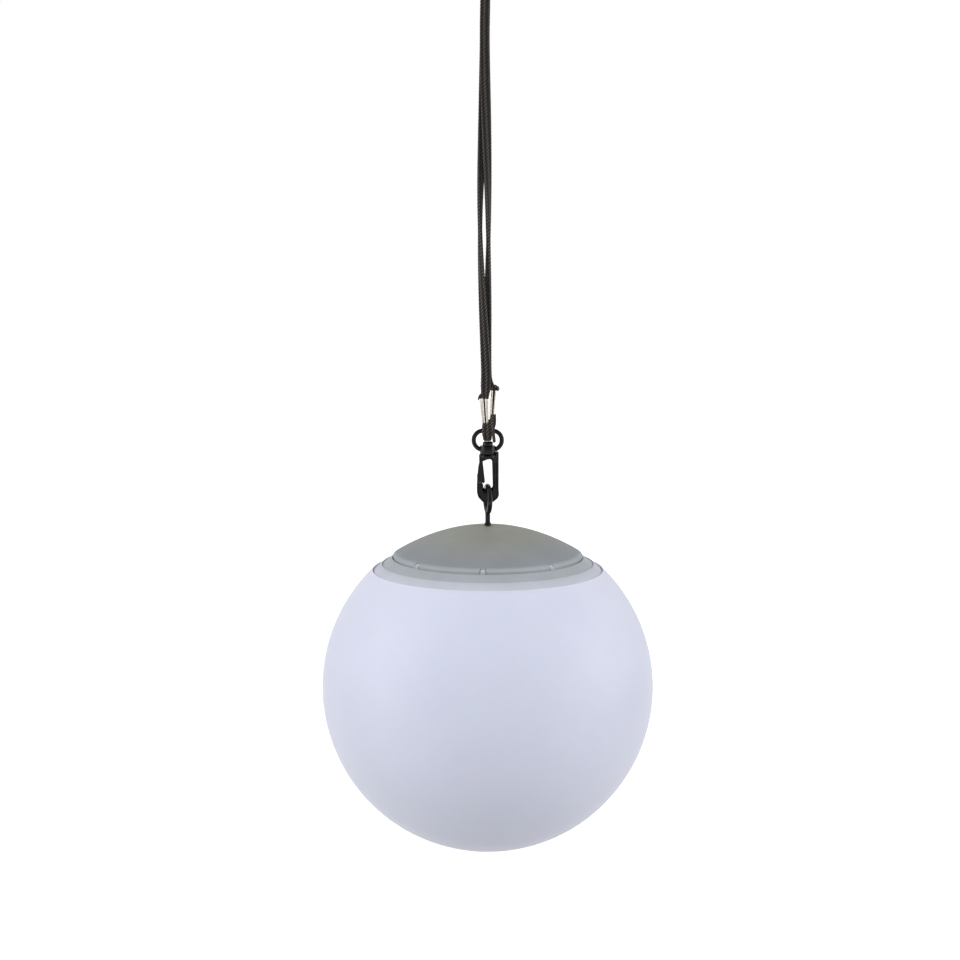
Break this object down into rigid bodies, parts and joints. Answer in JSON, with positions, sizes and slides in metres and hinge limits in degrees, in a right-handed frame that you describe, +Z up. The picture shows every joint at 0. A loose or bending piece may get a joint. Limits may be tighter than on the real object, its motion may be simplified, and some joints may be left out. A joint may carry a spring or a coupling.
{
  "type": "garden globe light",
  "caption": "Opal globe lamp with a grey dome in its neck, hung by an eye bolt and a swivel snap hook on a doubled flat braided cord.",
  "frame": {"origin": "the hanging point: the inside of the cord's bight, at its top, on the lamp's upright axis", "axes": "+Z up along the lamp's upright axis, the globe hangs at -Z; +X to the right seen from the front; the front faces -Y"},
  "size_m": [0.2, 0.2, 0.5287],
  "materials": {
    "braided_cord": "flat braided polyester cord, charcoal, matt",
    "crimp_nickel": "bright nickel plate on folded steel strip",
    "hook_black": "black injection-moulded acetal, satin gloss",
    "black_steel": "black zinc-plated steel wire",
    "brass": "turned brass",
    "seal_rubber": "moulded rubber",
    "plated_steel": "zinc-plated steel",
    "dome_frost": "grey frosted acrylic, matt",
    "collar_frost": "translucent frosted polypropylene",
    "silicone": "clear moulded silicone",
    "opal": "opal white polyethylene, satin",
    "housing_white": "white injection-moulded ABS",
    "panel_glass": "dark blue cells under clear resin",
    "cell_wrap": "green heat-shrunk wrap on a steel can",
    "holder_black": "black moulded nylon",
    "contact_steel": "nickel-plated spring steel",
    "board_white": "white solder mask on an aluminium board",
    "emitter": "phosphor resin in a white package",
    "board_green": "green solder mask on glass epoxy",
    "component_black": "black moulded component packages",
    "switch_cap": "black moulded nylon with a ribbed end",
    "lead_red": "red soft sleeve on stranded wire",
    "lead_white": "white soft sleeve on stranded wire"
  },
  "bodies": {
    "cord": {"hanging_cord": "braided_cord", "cord_eye_front": "braided_cord", "cord_eye_rear": "braided_cord", "ferrule_front": "crimp_nickel", "ferrule_rear": "crimp_nickel"},
    "ring": {"swivel_ring": "hook_black"},
    "hook": {"snap_hook": "hook_black"},
    "gate": {"hook_gate": "hook_black"},
    "lamp": {"eye_bolt": "black_steel", "cap_bush": "brass", "seal_washer": "seal_rubber", "spreader_washer": "plated_steel", "lock_nut": "plated_steel", "dome_cap": "dome_frost", "closure_collar": "collar_frost", "neck_gasket": "silicone", "module_housing": "housing_white", "housing_screws": "plated_steel", "solar_panel": "panel_glass", "battery_cell": "cell_wrap", "battery_holder": "holder_black", "battery_contacts": "contact_steel", "battery_door": "housing_white", "battery_door_screw": "plated_steel", "led_board": "board_white", "led_emitters": "emitter", "led_board_screws": "plated_steel", "control_board": "board_green", "board_components": "component_black", "board_screws": "plated_steel", "slide_switch": "holder_black", "panel_lead": "lead_red", "battery_leads": "lead_red", "led_leads": "lead_white"},
    "globe": {"globe_shell": "opal"},
    "switch": {"switch_slider": "switch_cap"}
  },
  "joints": [
    {"name": "ring_swing", "type": "hinge", "parent": "cord", "child": "ring", "pos_m": [0, 0, -0.2695], "axis": [1, 0, 0], "range_deg": [-60, 60]},
    {"name": "hook_swivel", "type": "hinge", "parent": "ring", "child": "hook", "pos_m": [0, 0, -0.28105], "axis": [0, 0, 1], "continuous": true},
    {"name": "gate_press", "type": "hinge", "parent": "hook", "child": "gate", "pos_m": [-0.004, 0, -0.2881], "axis": [0, -1, 0], "range_deg": [0, 18], "stiffness_Nm_per_rad": 0.02, "springref_deg": -8.59},
    {"name": "lamp_swing", "type": "hinge", "parent": "hook", "child": "lamp", "pos_m": [0, 0, -0.3032], "axis": [-0.1736, 0.9848, 0], "range_deg": [-45, 45]},
    {"name": "globe_twist", "type": "hinge", "parent": "lamp", "child": "globe", "pos_m": [0, 0, -0.426], "axis": [0, 0, 1], "range_deg": [0, 25]},
    {"name": "switch_slide", "type": "slide", "parent": "lamp", "child": "switch", "axis": [1, 0, 0], "range_m": [0, 0.003]}
  ]
}
